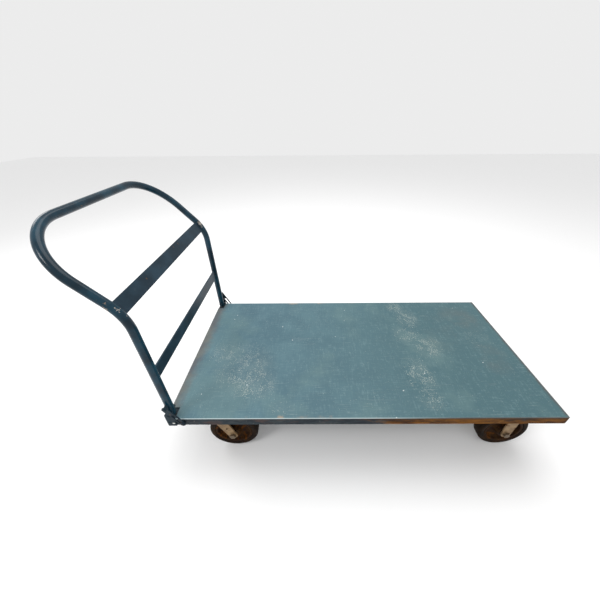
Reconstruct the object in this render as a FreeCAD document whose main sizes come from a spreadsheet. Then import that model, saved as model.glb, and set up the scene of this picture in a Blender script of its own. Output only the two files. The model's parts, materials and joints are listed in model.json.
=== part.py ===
import FreeCAD, Part
import math
import os
import re
import Sketcher
from FreeCAD import Placement, Rotation, Vector

# Folding platform cart: a flat steel deck on an angle-iron frame, four casters below it, and a
# bent tube handle at one end that folds down over the deck on two pivots.
# Row frame: +X from the handle end to the open end, +Y to the pusher's left, +Z up.
# The origin is on the floor, below the middle of the whole cart's box. Millimetres.

doc = FreeCAD.newDocument("platform_cart")
sheet = doc.addObject("Spreadsheet::Sheet", "Sizes")

SIZES = [
    # deck and frame
    ("deck_length", 1372), ("deck_width", 686), ("deck_top", 280), ("sheet_thickness", 3),
    ("rail_size", 32), ("rail_wall", 5), ("rail_rounding", 1.2), ("channel_width", 112),
    ("stiffener_spacing", 300),
    # handle: tube, side view and loop
    ("handle_overhang", 191), ("top_bar_height", 644), ("kink_height", 426), ("kink_bend", 136),
    ("corner_bend", 155), ("tube_radius", 12.7), ("tube_wall", 2), ("leg_inset", 14.2),
    ("leg_side_inset", 20), ("bar_width", 45), ("bar_thickness", 5), ("bar_end_inset", 25),
    ("upper_bar_tilt", 30), ("upper_bar_inset", 5.7), ("upper_bar_height", 442),
    ("lower_bar_height", 196), ("cope_gap", 0.05),
    # handle foot: bracket, pivot, stay and catch stud
    ("notch_length", 29), ("notch_width", 45), ("pivot_height", 20), ("ear_thickness", 4),
    ("pin_grip", 36), ("bracket_drop", 34),
    ("foot_round", 14.5), ("pin_radius", 4), ("pin_head_radius", 6.8), ("pin_head_height", 3.5),
    ("bush_radius", 6.5), ("bush_play", 0.5), ("running_play", 0.05), ("bracket_rivet_radius", 3),
    ("bracket_rivet_head", 5.5), ("stay_thickness", 3), ("stay_gap", 0.5), ("stay_half_width", 10),
    ("stay_pivot_height", 60), ("stay_slant", 26.5), ("slot_start", 38), ("slot_end", 86),
    ("slot_half_width", 5), ("stay_reach", 88), ("stud_reach", 40), ("stud_drop", 17),
    ("stud_radius", 3), ("stud_head_radius", 8),
    # casters
    ("caster_side_inset", 84), ("swivel_inset", 138), ("rigid_inset", 118), ("trail", 48),
    ("wheel_radius", 95), ("wheel_width", 46), ("tyre_thickness", 22), ("hub_radius", 26),
    ("hub_width", 58), ("web_thickness", 12), ("rim_thickness", 10), ("bearing_radius", 14),
    ("bearing_length", 64), ("axle_radius", 8), ("axle_head_radius", 12), ("axle_head_height", 8),
    ("fork_inside", 66), ("fork_wall", 5), ("fork_top_half", 25), ("fork_eye", 18),
    ("fork_hole_radius", 5.5),
    ("plate_thickness", 6), ("plate_length", 102), ("plate_width", 114), ("bolt_spacing_x", 67),
    ("bolt_spacing_y", 92), ("bolt_radius", 4.8), ("bolt_play", 0.4), ("bolt_head_radius", 9),
    ("bolt_head_height", 6), ("nut_height", 8), ("thread_end", 2), ("race_radius", 40),
    ("race_bore", 18), ("race_height", 14), ("race_gap", 0.3), ("kingpin_radius", 8),
    ("kingpin_nut_radius", 14), ("kingpin_nut_gap", 1),
]
ALIASES = {alias for alias, number in SIZES}
for row, (alias, number) in enumerate(SIZES, start=1):
    sheet.set(f"A{row}", alias)
    sheet.set(f"B{row}", str(number))
    sheet.setAlias(f"B{row}", alias)
doc.recompute()

# Derived places, as expressions of the sheet's values
DECK_START = "(handle_overhang - deck_length) / 2"
DECK_END = "(handle_overhang + deck_length) / 2"
HALF_WIDTH = "deck_width / 2"
SHEET_BOTTOM = "(deck_top - sheet_thickness)"
FRAME_BOTTOM = "(deck_top - sheet_thickness - rail_size)"
LEG_X = f"({DECK_START} + leg_inset)"
LEG_Y = "(deck_width / 2 - leg_side_inset)"
PIVOT_Z = "(deck_top + pivot_height)"
STAY_Y = f"({HALF_WIDTH} + ear_thickness + stay_gap)"
CASTER_Y = "(deck_width / 2 - caster_side_inset)"
SWIVEL_X = f"({DECK_START} + swivel_inset)"
RIGID_X = f"({DECK_END} - rigid_inset)"
PLATE_BOTTOM = f"({FRAME_BOTTOM} - plate_thickness)"
BRIDGE_TOP = f"({PLATE_BOTTOM} - race_height)"
FORK_OUTSIDE = "(fork_inside + 2 * fork_wall)"

SIDES = {"left": 1, "right": -1}
CORNERS = [(1, 1), (1, -1), (-1, 1), (-1, -1)]
nodes = []


def words(expression):
    """Point every alias in an expression at the sheet."""
    def name(match):
        return "Sizes." + match[0] if match[0] in ALIASES else match[0]
    return re.sub(r"[a-z_]+", name, str(expression))


def number(expression):
    """Value of an expression of the sheet's aliases."""
    return float(sheet.evalExpression(words(expression)))


def bind(item, **expressions):
    for key, expression in expressions.items():
        item.setExpression(key.replace("__", "."), words(expression))
    return item


def node(item, label):
    """Give a finished sub-part its own label, which names its file."""
    item.Label = label
    nodes.append(item)
    return item


def side_span(side, low, high):
    """A span in Y on the left, or its mirror image on the right."""
    return (low, high) if side > 0 else (f"-({high})", f"-({low})")


# ---- primitives bound to the sheet ----

def box(name, x, y, z):
    item = doc.addObject("Part::Box", name)
    bind(item, Length=f"({x[1]}) - ({x[0]})", Width=f"({y[1]}) - ({y[0]})")
    bind(item, Height=f"({z[1]}) - ({z[0]})", Placement__Base__x=x[0])
    return bind(item, Placement__Base__y=y[0], Placement__Base__z=z[0])


def along(item, axis, across, span):
    """Lay a primitive whose own axis is Z along the row's Y or Z axis."""
    if axis == "y":
        item.Placement = Placement(Vector(), Rotation(Vector(1, 0, 0), -90))
        places = (across[0], span[0], across[1])
    else:
        places = (across[0], across[1], span[0])
    bind(item, Height=f"({span[1]}) - ({span[0]})", Placement__Base__x=places[0])
    return bind(item, Placement__Base__y=places[1], Placement__Base__z=places[2])


def rod(name, axis, across, span, radius):
    item = bind(doc.addObject("Part::Cylinder", name), Radius=radius)
    return along(item, axis, across, span)


def hexagon(name, axis, across, span, corner_radius):
    item = doc.addObject("Part::Prism", name)
    item.Polygon = 6
    return along(bind(item, Circumradius=corner_radius), axis, across, span)


def cone(name, axis, across, span, radius, tip_radius):
    item = bind(doc.addObject("Part::Cone", name), Radius1=radius, Radius2=tip_radius)
    return along(item, axis, across, span)


def join(name, items):
    item = doc.addObject("Part::MultiFuse", name)
    item.Shapes = items
    item.Refine = True
    return item


def cut(name, base, tool):
    item = doc.addObject("Part::Cut", name)
    item.Base = base
    item.Tool = tool
    return item


def group(name, items):
    item = doc.addObject("Part::Compound", name)
    item.Links = items
    return item


def collar(name, axis, across, span, radius, bore):
    """Round sleeve with a plain bore."""
    outside = rod(name + "_outside", axis, across, span, radius)
    return cut(name, outside, rod(name + "_bore", axis, across, span, bore))


def dome_head(name, across, face, height, side, radius):
    """Low coned rivet head that stands on a face square to Y, pointing to the given side."""
    if side > 0:
        return cone(name, "y", across, (face, f"{face} + {height}"), radius, f"0.6 * ({radius})")
    return cone(name, "y", across, (f"-({face} + {height})", f"-({face})"), f"0.6 * ({radius})", radius)


# ---- sketched bodies ----

def body(name, x="0", y="0", z="0"):
    item = doc.addObject("PartDesign::Body", name)
    return bind(item, Placement__Base__x=x, Placement__Base__y=y, Placement__Base__z=z)


def sketch_on(owner, role, name):
    sketch = owner.newObject("Sketcher::SketchObject", name)
    plane = [item for item in owner.Origin.OriginFeatures if item.Role == role][0]
    sketch.AttachmentSupport = [(plane, "")]
    sketch.MapMode = "FlatFace"
    return sketch


def pin_down(sketch, geometry, position, x, y):
    """Fix a point of a sketch at two bound distances from the sketch's origin."""
    for kind, axis, expression in (("DistanceX", -2, x), ("DistanceY", -1, y)):
        distance = number(expression)
        if abs(distance) < 1e-9:
            sketch.addConstraint(Sketcher.Constraint("PointOnObject", geometry, position, axis))
            continue
        ends = (-1, 1, geometry, position) if distance > 0 else (geometry, position, -1, 1)
        index = sketch.addConstraint(Sketcher.Constraint(kind, *ends, abs(distance)))
        bound = expression if distance > 0 else f"-({expression})"
        sketch.setExpression(f"Constraints[{index}]", words(bound))


def polygon(sketch, points):
    corners = [Vector(number(x), number(y), 0) for x, y in points]
    first = sketch.GeometryCount
    count = len(corners)
    for index, corner in enumerate(corners):
        sketch.addGeometry(Part.LineSegment(corner, corners[(index + 1) % count]))
    for index in range(count):
        following = first + (index + 1) % count
        sketch.addConstraint(Sketcher.Constraint("Coincident", first + index, 2, following, 1))
    for index, (x, y) in enumerate(points):
        pin_down(sketch, first + index, 1, x, y)


def circle(sketch, x, y, radius):
    centre = Vector(number(x), number(y), 0)
    index = sketch.addGeometry(Part.Circle(centre, Vector(0, 0, 1), number(radius)))
    limit = sketch.addConstraint(Sketcher.Constraint("Radius", index, number(radius)))
    sketch.setExpression(f"Constraints[{limit}]", words(radius))
    pin_down(sketch, index, 3, x, y)


def slot(sketch, start, end, radius):
    """Round-ended slot along the sketch's X axis, between two end centres."""
    half = number(radius)
    low, high = number(start), number(end)
    up = Vector(0, 0, 1)
    first = sketch.GeometryCount
    sketch.addGeometry(Part.LineSegment(Vector(low, half, 0), Vector(high, half, 0)))
    sketch.addGeometry(Part.ArcOfCircle(Part.Circle(Vector(high, 0, 0), up, half), -1.5707963, 1.5707963))
    sketch.addGeometry(Part.LineSegment(Vector(low, -half, 0), Vector(high, -half, 0)))
    sketch.addGeometry(Part.ArcOfCircle(Part.Circle(Vector(low, 0, 0), up, half), 1.5707963, 4.7123890))
    for line, line_end, arc, arc_end in ((0, 2, 1, 2), (2, 2, 1, 1), (2, 1, 3, 2), (0, 1, 3, 1)):
        ends = (first + line, line_end, first + arc, arc_end)
        sketch.addConstraint(Sketcher.Constraint("Tangent", *ends))
    sketch.addConstraint(Sketcher.Constraint("Equal", first + 1, first + 3))
    limit = sketch.addConstraint(Sketcher.Constraint("Radius", first + 1, half))
    sketch.setExpression(f"Constraints[{limit}]", words(radius))
    pin_down(sketch, first + 3, 3, start, "0")
    pin_down(sketch, first + 1, 3, end, "0")


def feature(owner, kind, sketch, length, symmetric=False):
    """Pad or pocket of a sketch, one way or half to each side."""
    item = owner.newObject("PartDesign::" + kind, sketch.Name + "_" + kind.lower())
    item.Profile = sketch
    if symmetric:
        item.SideType = "Symmetric"
    bind(item, Length=length)
    sketch.Visibility = False
    return item


def turned(owner, sketch):
    """Full turn of a sketch about the body's Y axis."""
    item = owner.newObject("PartDesign::Revolution", sketch.Name + "_turn")
    item.Profile = sketch
    item.ReferenceAxis = (sketch, ["V_Axis"])
    item.Angle = 360
    return item


# ---- deck and frame ----

def deck_sheet():
    """Flat steel sheet over the whole frame, notched round the handle's two feet."""
    owner = body("deck_sheet_body", DECK_START, f"-{HALF_WIDTH}", SHEET_BOTTOM)
    outline = sketch_on(owner, "XY_Plane", "deck_outline")
    far_notch = "deck_width - notch_width"
    polygon(outline, [("notch_length", "0"), ("deck_length", "0"), ("deck_length", "deck_width"),
                      ("notch_length", "deck_width"), ("notch_length", far_notch), ("0", far_notch),
                      ("0", "notch_width"), ("notch_length", "notch_width")])
    feature(owner, "Pad", outline, "sheet_thickness")
    node(owner, "deck_sheet")


def angle_rail(label, length, turn, x, y):
    """Angle iron with mitred ends: one leg hangs at the outside, the other lies under the sheet."""
    owner = body(label + "_body")
    owner.Placement = Placement(Vector(), Rotation(Vector(0, 0, 1), turn))
    bind(owner, Placement__Base__x=x, Placement__Base__y=y, Placement__Base__z=FRAME_BOTTOM)
    section = sketch_on(owner, "YZ_Plane", label + "_section")
    polygon(section, [("0", "0"), ("rail_wall", "0"), ("rail_wall", "rail_size - rail_wall"),
                      ("rail_size", "rail_size - rail_wall"), ("rail_size", "rail_size"),
                      ("rail_rounding", "rail_size"), ("0", "rail_size - rail_rounding")])
    feature(owner, "Pad", section, length)
    mitres = sketch_on(owner, "XY_Plane", label + "_mitres")
    polygon(mitres, [("0", "0"), ("rail_size", "rail_size"), ("0", "rail_size")])
    polygon(mitres, [(length, "0"), (length, "rail_size"), (f"{length} - rail_size", "rail_size")])
    feature(owner, "Pocket", mitres, "3 * rail_size", symmetric=True)
    node(owner, label)


def bolt_places(x, side):
    """Centres of one caster's four mounting bolts."""
    centre_y = f"{side} * {CASTER_Y}"
    return [(f"{x} + {i} * bolt_spacing_x / 2", f"{centre_y} + {j} * bolt_spacing_y / 2")
            for i, j in CORNERS]


def caster_channel(label, x):
    """Pressed channel across the frame, open side up, whose floor carries two caster plates."""
    half = f"({HALF_WIDTH} - rail_wall)"
    half_inside = f"({HALF_WIDTH} - rail_size)"
    edge = f"{x} - channel_width / 2"
    far_edge = f"{x} + channel_width / 2"
    floor_z = (FRAME_BOTTOM, f"{FRAME_BOTTOM} + rail_wall")
    low_z = (FRAME_BOTTOM, f"{SHEET_BOTTOM} - rail_wall")
    high_z = (f"{SHEET_BOTTOM} - rail_wall", SHEET_BOTTOM)
    parts = [box(label + "_floor", (edge, far_edge), (f"-{half}", half), floor_z)]
    for name, low in (("near", edge), ("far", f"{far_edge} - rail_wall")):
        wall_x = (low, f"{low} + rail_wall")
        parts.append(box(f"{label}_{name}_wall", wall_x, (f"-{half}", half), low_z))
        parts.append(box(f"{label}_{name}_lip", wall_x, (f"-{half_inside}", half_inside), high_z))
    holes = [rod(f"{label}_hole", "z", place, floor_z, "bolt_radius + bolt_play")
             for side in SIDES.values() for place in bolt_places(x, side)]
    solid = join(label + "_solid", parts)
    node(cut(label + "_cut", solid, join(label + "_holes", holes)), label)


def deck_stiffener(label, x):
    """Angle across the frame, coped at both ends to pass below the side rails' upper legs."""
    half = f"({HALF_WIDTH} - rail_wall)"
    half_inside = f"({HALF_WIDTH} - rail_size)"
    low_z = (FRAME_BOTTOM, f"{SHEET_BOTTOM} - rail_wall")
    high_z = (f"{SHEET_BOTTOM} - rail_wall", SHEET_BOTTOM)
    web = box(label + "_web", (x, f"{x} + rail_wall"), (f"-{half}", half), low_z)
    leg = box(label + "_leg", (x, f"{x} + rail_size"), (f"-{half_inside}", half_inside), high_z)
    node(join(label + "_solid", [web, leg]), label)


# ---- handle ----

def rounded_path(points, radii):
    """Wire through the points, with a tangent arc of the given radius at each inner one."""
    edges = []
    start = points[0]
    for before, corner, after, radius in zip(points, points[1:], points[2:], radii):
        back = (before - corner).normalize()
        ahead = (after - corner).normalize()
        half_angle = back.getAngle(ahead) / 2
        reach = radius / math.tan(half_angle)
        middle = (back + ahead).normalize() * (radius / math.sin(half_angle) - radius)
        arc_start = corner + back * reach
        arc_end = corner + ahead * reach
        edges.append(Part.LineSegment(start, arc_start).toShape())
        edges.append(Part.Arc(arc_start, corner + middle, arc_end).toShape())
        start = arc_end
    edges.append(Part.LineSegment(start, points[-1]).toShape())
    return Part.Wire(edges)


def bent_rod(radius):
    """Solid round bar along the handle's centre line, from one foot over the loop to the other."""
    x = number(LEG_X)
    y = number(LEG_Y)
    top_x = number(f"{DECK_START} - handle_overhang + tube_radius")
    foot_z = number(f"{PIVOT_Z} - foot_round")
    kink_z = number("deck_top + kink_height")
    top_z = number("deck_top + top_bar_height")
    points = [Vector(x, -y, foot_z), Vector(x, -y, kink_z), Vector(top_x, -y, top_z),
              Vector(top_x, y, top_z), Vector(x, y, kink_z), Vector(x, y, foot_z)]
    kink = number("kink_bend")
    corner = number("corner_bend")
    path = rounded_path(points, [kink, corner, corner, kink])
    section = Part.Wire(Part.makeCircle(radius, points[0], Vector(0, 0, 1)))
    solid = path.makePipeShell([section], True, False)
    expected = math.pi * radius ** 2 * path.Length
    if abs(solid.Volume - expected) > 0.01 * expected:
        raise RuntimeError("the handle's sweep has the wrong volume")
    return solid


def handle_tube():
    """Bent tube: two legs that lean outwards above a kink and meet in a round-cornered loop."""
    radius = number("tube_radius")
    tube = bent_rod(radius).cut(bent_rod(radius - number("tube_wall")))
    pivot = Vector(number(LEG_X), 0, number(PIVOT_Z))
    width = number("deck_width")
    foot_round = number("foot_round")
    block = Part.makeBox(4 * radius, width, foot_round + 1)
    block.translate(pivot - Vector(2 * radius, width / 2, foot_round + 1))
    across = Vector(0, 1, 0)
    outer_y = Vector(0, width / 2, 0)
    rounding = Part.makeCylinder(foot_round, width, pivot - outer_y, across)
    bush_hole = Part.makeCylinder(number("bush_radius"), width, pivot - outer_y, across)
    stay_pivot = Vector(pivot.x, 0, number("deck_top + stay_pivot_height"))
    rivet_radius = number("stud_radius + running_play")
    rivet_hole = Part.makeCylinder(rivet_radius, width, stay_pivot - outer_y, across)
    item = doc.addObject("Part::Feature", "handle_tube_shape")
    item.Shape = tube.cut(block.cut(rounding)).cut(bush_hole).cut(rivet_hole)
    node(item, "handle_tube")


def tube_cope():
    """The handle's outside, a little oversize: it shapes what is welded or pushed against the tube."""
    item = doc.addObject("Part::Feature", "tube_cope_shape")
    item.Shape = bent_rod(number("tube_radius + cope_gap"))
    return item


def cross_bar(label, x, z, tilt, cope):
    """Flat bar between the handle's legs, its ends coped to the tube."""
    owner = body(label + "_body", x, "0", z)
    owner.Placement.Rotation = Rotation(Vector(0, 1, 0), -number(tilt))
    outline = sketch_on(owner, "XY_Plane", label + "_section")
    half = "bar_thickness / 2"
    end = "deck_width / 2 - bar_end_inset"
    polygon(outline, [(f"-{half}", f"-({end})"), (half, f"-({end})"), (half, end), (f"-{half}", end)])
    feature(owner, "Pad", outline, "bar_width", symmetric=True)
    node(cut(label + "_coped", owner, cope), label)


def pivot_bush(label, side):
    """Sleeve through the leg that turns on the pivot pin."""
    inner = f"{HALF_WIDTH} - pin_grip + bush_play"
    span = side_span(side, inner, f"{HALF_WIDTH} - bush_play")
    bore = "pin_radius + running_play"
    node(collar(label + "_sleeve", "y", (LEG_X, PIVOT_Z), span, "bush_radius", bore), label)


def stay_rivet(label, side, cope):
    """Rivet through the leg, with a spacer that holds the stay clear of the foot bracket."""
    place = (LEG_X, "(deck_top + stay_pivot_height)")
    tube_inside = f"({LEG_Y} - tube_radius)"
    stay_outside = f"({STAY_Y} + stay_thickness + stay_gap)"
    spacer_span = side_span(side, LEG_Y, f"{STAY_Y} - stay_gap / 2")
    spacer = rod(label + "_spacer", "y", place, spacer_span, "2 * stud_radius")
    shank_span = side_span(side, tube_inside, stay_outside)
    shank = rod(label + "_shank", "y", place, shank_span, "stud_radius")
    head = dome_head(label + "_head", place, stay_outside, "stud_radius", side, "2 * stud_radius")
    tail_span = side_span(side, f"{tube_inside} - 2", tube_inside)
    tail = rod(label + "_tail", "y", place, tail_span, "1.6 * stud_radius")
    node(join(label + "_solid", [cut(label + "_coped", spacer, cope), shank, head, tail]), label)


# ---- handle foot ----

def foot_bracket(label, side):
    """Upright plate on the side rail's outer face, rounded above the deck round the pivot pin."""
    x = (DECK_START, f"{DECK_START} + 2 * leg_inset")
    span = side_span(side, HALF_WIDTH, f"{HALF_WIDTH} + ear_thickness")
    pivot = (LEG_X, PIVOT_Z)
    plate = box(label + "_plate", x, span, ("deck_top - bracket_drop", PIVOT_Z))
    ear = rod(label + "_ear", "y", pivot, span, "leg_inset")
    holes = [rod(label + "_pin_hole", "y", pivot, span, "pin_radius + running_play")]
    holes += [rod(f"{label}_rivet_hole_{index}", "y", place, span, "bracket_rivet_radius")
              for index, place in enumerate(bracket_rivet_places())]
    node(cut(label + "_cut", join(label + "_solid", [plate, ear]), join(label + "_holes", holes)), label)


def bracket_rivet_places():
    z = "(deck_top - stud_drop)"
    return [(f"({DECK_START} + 0.55 * leg_inset)", z), (f"({DECK_START} + 1.55 * leg_inset)", z)]


def bracket_rivets(label):
    """Two rivets through each foot bracket's drop plate, clear of the stay."""
    rivets = []
    face = f"({HALF_WIDTH} + ear_thickness)"
    for side_name, side in SIDES.items():
        for index, place in enumerate(bracket_rivet_places()):
            name = f"{label}_{side_name}_{index}"
            span = side_span(side, HALF_WIDTH, face)
            shank = rod(name + "_shank", "y", place, span, "bracket_rivet_radius")
            height = "bracket_rivet_head / 3"
            head = dome_head(name + "_head", place, face, height, side, "bracket_rivet_head")
            rivets.append(join(name, [shank, head]))
    node(group(label + "_group", rivets), label)


def pivot_pin(label, side):
    """Pin through the foot bracket and the leg's bush, headed at both ends."""
    pivot = (LEG_X, PIVOT_Z)
    outer_face = f"({HALF_WIDTH} + ear_thickness)"
    inner_face = f"({HALF_WIDTH} - pin_grip)"
    shank = rod(label + "_shank", "y", pivot, side_span(side, inner_face, outer_face), "pin_radius")
    head = dome_head(label + "_head", pivot, outer_face, "pin_head_height", side, "pin_head_radius")
    tail_span = side_span(side, f"{inner_face} - pin_head_height", inner_face)
    tail = rod(label + "_tail", "y", pivot, tail_span, "1.5 * pin_radius")
    node(join(label + "_solid", [shank, head, tail]), label)


def catch_stud(label, side):
    """Headed stud on the side rail, in the stay's slot."""
    place = (f"({LEG_X} + stud_reach)", "(deck_top - stud_drop)")
    stay_outside = f"({STAY_Y} + stay_thickness + stay_gap)"
    shank = rod(label + "_shank", "y", place, side_span(side, HALF_WIDTH, stay_outside), "stud_radius")
    boss_span = side_span(side, HALF_WIDTH, f"{STAY_Y} - stay_gap")
    boss = rod(label + "_boss", "y", place, boss_span, "2 * stud_radius")
    head = dome_head(label + "_head", place, stay_outside, "stud_radius", side, "stud_head_radius")
    node(join(label + "_solid", [shank, boss, head]), label)


def stay(label, side):
    """Slotted strap from the leg down to the catch stud; its slot's end holds the handle up."""
    middle = f"{side} * ({STAY_Y} + stay_thickness / 2)"
    owner = body(label + "_body", LEG_X, middle, "deck_top + stay_pivot_height")
    owner.Placement.Rotation = Rotation(Vector(0, 1, 0), 90 - number("stay_slant"))
    strap = sketch_on(owner, "XZ_Plane", label + "_outline")
    slot(strap, "0", "stay_reach", "stay_half_width")
    feature(owner, "Pad", strap, "stay_thickness", symmetric=True)
    openings = sketch_on(owner, "XZ_Plane", label + "_openings")
    slot(openings, "slot_start", "slot_end", "slot_half_width")
    circle(openings, "0", "0", "stud_radius + running_play")
    feature(owner, "Pocket", openings, "3 * stay_thickness", symmetric=True)
    node(owner, label)


# ---- casters ----

def wheel_centre(label, x, y):
    """Cast wheel: hub, thin web and rim, turned about the axle."""
    owner = body(label + "_body", x, y, "wheel_radius")
    outline = sketch_on(owner, "XY_Plane", label + "_outline")
    rim = "(wheel_radius - tyre_thickness)"
    half_hub = "hub_width / 2"
    half_rim = "(wheel_width / 2 - 2)"
    half_web = "web_thickness / 2"
    upper = [("bearing_radius", half_hub), ("hub_radius", half_hub), ("1.2 * hub_radius", half_web),
             (f"{rim} - rim_thickness - 2", half_web), (f"{rim} - rim_thickness", half_rim), (rim, half_rim)]
    polygon(outline, upper + [(radius, f"-({half})") for radius, half in reversed(upper)])
    turned(owner, outline)
    node(owner, label)


def tyre(label, x, y):
    """Moulded tread with rounded shoulders on the wheel's rim."""
    owner = body(label + "_body", x, y, "wheel_radius")
    outline = sketch_on(owner, "XY_Plane", label + "_outline")
    half = "wheel_width / 2"
    upper = [("wheel_radius - tyre_thickness", f"{half} - 2"), ("wheel_radius - 0.7 * tyre_thickness", half),
             ("wheel_radius - 0.28 * tyre_thickness", half),
             ("wheel_radius - 0.08 * tyre_thickness", f"{half} - 2"),
             ("wheel_radius", f"{half} - 7")]
    polygon(outline, upper + [(radius, f"-({place})") for radius, place in reversed(upper)])
    turned(owner, outline)
    node(owner, label)


def wheel(name, x, y):
    """Everything that spins: tyre, cast centre and the bush pressed into it."""
    tyre(f"{name}_tyre", x, y)
    wheel_centre(f"{name}_wheel_centre", x, y)
    half = "bearing_length / 2"
    span = (f"{y} - {half}", f"{y} + {half}")
    bore = "axle_radius + running_play"
    bearing = collar(f"{name}_bearing_sleeve", "y", (x, "wheel_radius"), span, "bearing_radius", bore)
    node(bearing, f"{name}_bearing")


def axle(name, x, side):
    """Hexagon-headed axle bolt through the fork, with its nut on the inner side."""
    outer_face = f"{CASTER_Y} + {FORK_OUTSIDE} / 2"
    inner_face = f"{CASTER_Y} - {FORK_OUTSIDE} / 2"
    place = (x, "wheel_radius")
    head_span = side_span(side, outer_face, f"{outer_face} + axle_head_height")
    nut_span = side_span(side, f"{inner_face} - axle_head_height", inner_face)
    shank_span = side_span(side, f"{inner_face} - axle_head_height - thread_end", outer_face)
    head = hexagon(f"{name}_axle_head", "y", place, head_span, "axle_head_radius")
    shank = rod(f"{name}_axle_shank", "y", place, shank_span, "axle_radius")
    node(join(f"{name}_axle_solid", [head, shank]), f"{name}_axle")
    nut = hexagon(f"{name}_nut_outside", "y", place, nut_span, "axle_head_radius")
    bore = rod(f"{name}_nut_bore", "y", place, nut_span, "axle_radius")
    node(cut(f"{name}_nut_cut", nut, bore), f"{name}_axle_nut")


def plate_holes(name, x, side, span):
    return [rod(name + "_hole", "z", place, span, "bolt_radius + bolt_play")
            for place in bolt_places(x, side)]


def fork_body(name, x, y, reach, top, bridge):
    """Two legs that narrow towards the axle's eye, joined at the top by a bridge."""
    owner = body(name + "_body", x, y)
    legs = sketch_on(owner, "XZ_Plane", name + "_legs")
    polygon(legs, [("-fork_top_half", top), (f"{reach} - fork_eye", "wheel_radius"),
                   (f"{reach} + fork_eye", "wheel_radius"), ("fork_top_half", top)])
    feature(owner, "Pad", legs, FORK_OUTSIDE, symmetric=True)
    eye = sketch_on(owner, "XZ_Plane", name + "_eye")
    circle(eye, reach, "wheel_radius", "fork_eye")
    feature(owner, "Pad", eye, FORK_OUTSIDE, symmetric=True)
    gap = sketch_on(owner, "XZ_Plane", name + "_gap")
    polygon(gap, [("-wheel_radius", "0"), ("2 * wheel_radius", "0"),
                  ("2 * wheel_radius", bridge), ("-wheel_radius", bridge)])
    feature(owner, "Pocket", gap, "fork_inside", symmetric=True)
    hole = sketch_on(owner, "XZ_Plane", name + "_axle_hole")
    circle(hole, reach, "wheel_radius", "axle_radius + running_play")
    feature(owner, "Pocket", hole, f"2 * {FORK_OUTSIDE}", symmetric=True)
    return owner


def top_plate(name, x, y):
    plate_x = (f"{x} - plate_length / 2", f"{x} + plate_length / 2")
    plate_y = (f"{y} - plate_width / 2", f"{y} + plate_width / 2")
    return box(name, plate_x, plate_y, (PLATE_BOTTOM, FRAME_BOTTOM))


def rigid_caster(name, side):
    """Fork welded to its plate, which keeps the wheel in line with the deck."""
    y = f"{side} * {CASTER_Y}"
    legs = fork_body(name + "_legs", RIGID_X, y, "0", PLATE_BOTTOM, PLATE_BOTTOM)
    solid = join(name + "_fork_solid", [legs, top_plate(name + "_plate", RIGID_X, y)])
    holes = plate_holes(name, RIGID_X, side, (PLATE_BOTTOM, FRAME_BOTTOM))
    node(cut(name + "_fork_cut", solid, join(name + "_holes", holes)), name + "_fork")
    wheel(name, RIGID_X, y)
    axle(name, RIGID_X, side)


def swivel_caster(name, side):
    """Fork that turns below its plate on a kingpin, with the axle trailing behind the kingpin."""
    y = f"{side} * {CASTER_Y}"
    centre = (SWIVEL_X, y)
    bridge_bottom = f"({BRIDGE_TOP} - plate_thickness)"
    holes = plate_holes(name, SWIVEL_X, side, (PLATE_BOTTOM, FRAME_BOTTOM))
    holes.append(rod(name + "_pin_hole", "z", centre, (PLATE_BOTTOM, FRAME_BOTTOM), "kingpin_radius"))
    plate = top_plate(name + "_plate_solid", SWIVEL_X, y)
    node(cut(name + "_plate_cut", plate, join(name + "_holes", holes)), name + "_plate")
    race_span = (f"{BRIDGE_TOP} + race_gap", PLATE_BOTTOM)
    race = collar(name + "_race_ring", "z", centre, race_span, "race_radius", "race_bore")
    node(race, name + "_ball_race")
    nut_top = f"({bridge_bottom} - kingpin_nut_gap)"
    nut_span = (f"{nut_top} - nut_height", nut_top)
    shank = rod(name + "_shank", "z", centre, (nut_span[0], FRAME_BOTTOM), "kingpin_radius")
    nut = hexagon(name + "_kingpin_nut", "z", centre, nut_span, "kingpin_nut_radius")
    node(join(name + "_kingpin_solid", [shank, nut]), name + "_kingpin")
    legs = fork_body(name + "_legs", SWIVEL_X, y, "trail", BRIDGE_TOP, bridge_bottom)
    crown = rod(name + "_crown", "z", centre, (bridge_bottom, BRIDGE_TOP), "race_radius")
    pin_play = "kingpin_radius + running_play"
    openings = [rod(name + "_crown_hole", "z", centre, (bridge_bottom, BRIDGE_TOP), pin_play)]
    fork_span = (f"{y} - {FORK_OUTSIDE} / 2", f"{y} + {FORK_OUTSIDE} / 2")
    for index, share in enumerate((0.36, 0.66)):
        place = (f"{SWIVEL_X} + {share} * trail", f"{BRIDGE_TOP} - {share} * ({BRIDGE_TOP} - wheel_radius)")
        openings.append(rod(f"{name}_leg_hole_{index}", "y", place, fork_span, "fork_hole_radius"))
    solid = join(name + "_fork_solid", [legs, crown])
    node(cut(name + "_fork_cut", solid, join(name + "_openings", openings)), name + "_fork")
    wheel_x = f"({SWIVEL_X} + trail)"
    wheel(name, wheel_x, y)
    axle(name, wheel_x, side)


def plate_bolts(label, x):
    """Bolts whose heads lie in the channel, down through its floor and both casters' plates."""
    head_z = f"({FRAME_BOTTOM} + rail_wall)"
    tip_z = f"({PLATE_BOTTOM} - nut_height - thread_end)"
    bolts = []
    for side in SIDES.values():
        for place in bolt_places(x, side):
            name = f"{label}_{len(bolts)}"
            head_span = (head_z, f"{head_z} + bolt_head_height")
            head = hexagon(name + "_head", "z", place, head_span, "bolt_head_radius")
            shank = rod(name + "_shank", "z", place, (tip_z, head_z), "bolt_radius")
            bolts.append(join(name, [head, shank]))
    node(group(label + "_group", bolts), label)


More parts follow.
